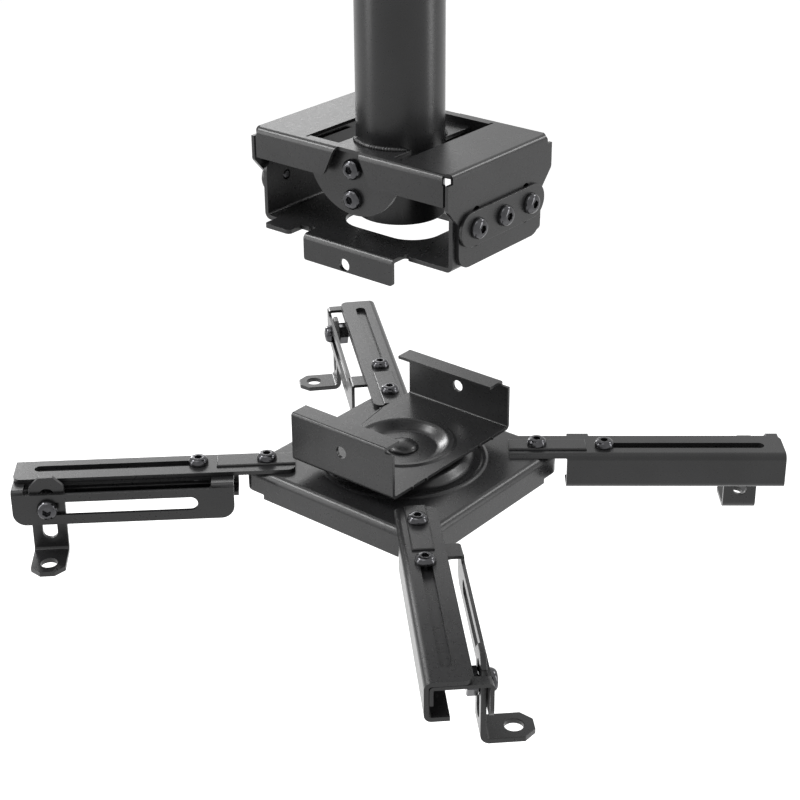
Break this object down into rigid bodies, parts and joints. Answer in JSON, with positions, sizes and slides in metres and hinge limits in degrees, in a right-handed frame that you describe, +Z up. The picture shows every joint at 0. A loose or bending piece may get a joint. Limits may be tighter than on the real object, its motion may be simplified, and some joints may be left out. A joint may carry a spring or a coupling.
{
  "type": "projector mount",
  "caption": "Projector mount on a round pole: a tilting and rolling head with a hooked cradle, and a released swivelling plate with telescoping arms and slotted legs.",
  "frame": {"origin": "centre of the pole's top end", "axes": "+Z up along the pole, +X to the side that the tilt screws of the right side face, +Y to the rear"},
  "size_m": [0.3736, 0.36, 0.3389],
  "materials": {
    "powder_coat": "satin black powder coat with a fine texture",
    "black_zinc": "glossy black zinc plating"
  },
  "bodies": {
    "pole": {"pole": "powder_coat", "pole_ear_front": "powder_coat", "pole_ear_rear": "powder_coat"},
    "shell": {"top_shell": "powder_coat", "roll_pivot_screw_front": "black_zinc", "roll_pivot_nut_front": "black_zinc", "roll_clamp_screw_front": "black_zinc", "roll_clamp_nut_front": "black_zinc", "roll_pivot_screw_rear": "black_zinc", "roll_pivot_nut_rear": "black_zinc", "roll_clamp_screw_rear": "black_zinc", "roll_clamp_nut_rear": "black_zinc"},
    "cradle": {"cradle": "powder_coat", "tilt_doubler_right": "powder_coat", "tilt_doubler_left": "powder_coat", "tilt_screw_right_front": "black_zinc", "tilt_screw_right_middle": "black_zinc", "tilt_screw_right_rear": "black_zinc", "tilt_screw_left_front": "black_zinc", "tilt_screw_left_middle": "black_zinc", "tilt_screw_left_rear": "black_zinc"},
    "channel": {"release_channel": "powder_coat", "swivel_rivet": "black_zinc"},
    "hub": {"hub_plate": "powder_coat", "right_pivot_screw": "black_zinc", "right_pivot_nut": "black_zinc", "back_pivot_screw": "black_zinc", "back_pivot_nut": "black_zinc", "left_pivot_screw": "black_zinc", "left_pivot_nut": "black_zinc", "front_pivot_screw": "black_zinc", "front_pivot_nut": "black_zinc"},
    "right_outer": {"right_outer_rail": "powder_coat"},
    "right_inner": {"right_inner_rail": "powder_coat", "right_slide_screw": "black_zinc", "right_slide_nut": "black_zinc"},
    "right_clamp": {"right_leg_screw": "black_zinc", "right_leg_nut": "black_zinc"},
    "right_foot": {"right_leg": "powder_coat"},
    "back_outer": {"back_outer_rail": "powder_coat"},
    "back_inner": {"back_inner_rail": "powder_coat", "back_slide_screw": "black_zinc", "back_slide_nut": "black_zinc"},
    "back_clamp": {"back_leg_screw": "black_zinc", "back_leg_nut": "black_zinc"},
    "back_foot": {"back_leg": "powder_coat"},
    "left_outer": {"left_outer_rail": "powder_coat"},
    "left_inner": {"left_inner_rail": "powder_coat", "left_slide_screw": "black_zinc", "left_slide_nut": "black_zinc"},
    "left_clamp": {"left_leg_screw": "black_zinc", "left_leg_nut": "black_zinc"},
    "left_foot": {"left_leg": "powder_coat"},
    "front_outer": {"front_outer_rail": "powder_coat"},
    "front_inner": {"front_inner_rail": "powder_coat", "front_slide_screw": "black_zinc", "front_slide_nut": "black_zinc"},
    "front_clamp": {"front_leg_screw": "black_zinc", "front_leg_nut": "black_zinc"},
    "front_foot": {"front_leg": "powder_coat"}
  },
  "joints": [
    {"name": "roll", "type": "hinge", "parent": "pole", "child": "shell", "pos_m": [0, 0, -0.1092], "axis": [0, 1, 0], "range_deg": [-10, 10]},
    {"name": "tilt", "type": "hinge", "parent": "shell", "child": "cradle", "pos_m": [0, 0, -0.114], "axis": [1, 0, 0], "range_deg": [-20, 20]},
    {"name": "release", "type": "slide", "parent": "cradle", "child": "channel", "axis": [0, 0, 1], "range_m": [0, 0.096]},
    {"name": "swivel", "type": "hinge", "parent": "channel", "child": "hub", "pos_m": [0, 0, -0.2826], "axis": [0, 0, 1], "continuous": true},
    {"name": "right_swing", "type": "hinge", "parent": "hub", "child": "right_outer", "pos_m": [0.058, 0.058, -0.2844], "axis": [0, 0, 1], "range_deg": [-23.5, 36.5]},
    {"name": "right_extend", "type": "slide", "parent": "right_outer", "child": "right_inner", "axis": [0.7826, 0.6225, 0], "range_m": [0, 0.094]},
    {"name": "right_leg_shift", "type": "slide", "parent": "right_inner", "child": "right_clamp", "axis": [0.7826, 0.6225, 0], "range_m": [-0.084, 0]},
    {"name": "right_leg_height", "type": "slide", "parent": "right_clamp", "child": "right_foot", "axis": [0, 0, 1], "range_m": [0, 0.025]},
    {"name": "back_swing", "type": "hinge", "parent": "hub", "child": "back_outer", "pos_m": [-0.058, 0.058, -0.2844], "axis": [0, 0, 1], "range_deg": [-33.5, 26.5]},
    {"name": "back_extend", "type": "slide", "parent": "back_outer", "child": "back_inner", "axis": [-0.749, 0.6626, 0], "range_m": [0, 0.094]},
    {"name": "back_leg_shift", "type": "slide", "parent": "back_inner", "child": "back_clamp", "axis": [-0.749, 0.6626, 0], "range_m": [-0.084, 0]},
    {"name": "back_leg_height", "type": "slide", "parent": "back_clamp", "child": "back_foot", "axis": [0, 0, 1], "range_m": [0, 0.025]},
    {"name": "left_swing", "type": "hinge", "parent": "hub", "child": "left_outer", "pos_m": [-0.058, -0.058, -0.2844], "axis": [0, 0, 1], "range_deg": [-28, 32]},
    {"name": "left_extend", "type": "slide", "parent": "left_outer", "child": "left_inner", "axis": [-0.7314, -0.682, 0], "range_m": [0, 0.094]},
    {"name": "left_leg_shift", "type": "slide", "parent": "left_inner", "child": "left_clamp", "axis": [-0.7314, -0.682, 0], "range_m": [-0.084, 0]},
    {"name": "left_leg_height", "type": "slide", "parent": "left_clamp", "child": "left_foot", "axis": [0, 0, 1], "range_m": [-0.008, 0.017]},
    {"name": "front_swing", "type": "hinge", "parent": "hub", "child": "front_outer", "pos_m": [0.058, -0.058, -0.2844], "axis": [0, 0, 1], "range_deg": [-29.5, 30.5]},
    {"name": "front_extend", "type": "slide", "parent": "front_outer", "child": "front_inner", "axis": [0.7009, -0.7133, 0], "range_m": [0, 0.094]},
    {"name": "front_leg_shift", "type": "slide", "parent": "front_inner", "child": "front_clamp", "axis": [0.7009, -0.7133, 0], "range_m": [-0.084, 0]},
    {"name": "front_leg_height", "type": "slide", "parent": "front_clamp", "child": "front_foot", "axis": [0, 0, 1], "range_m": [-0.008, 0.017]}
  ]
}
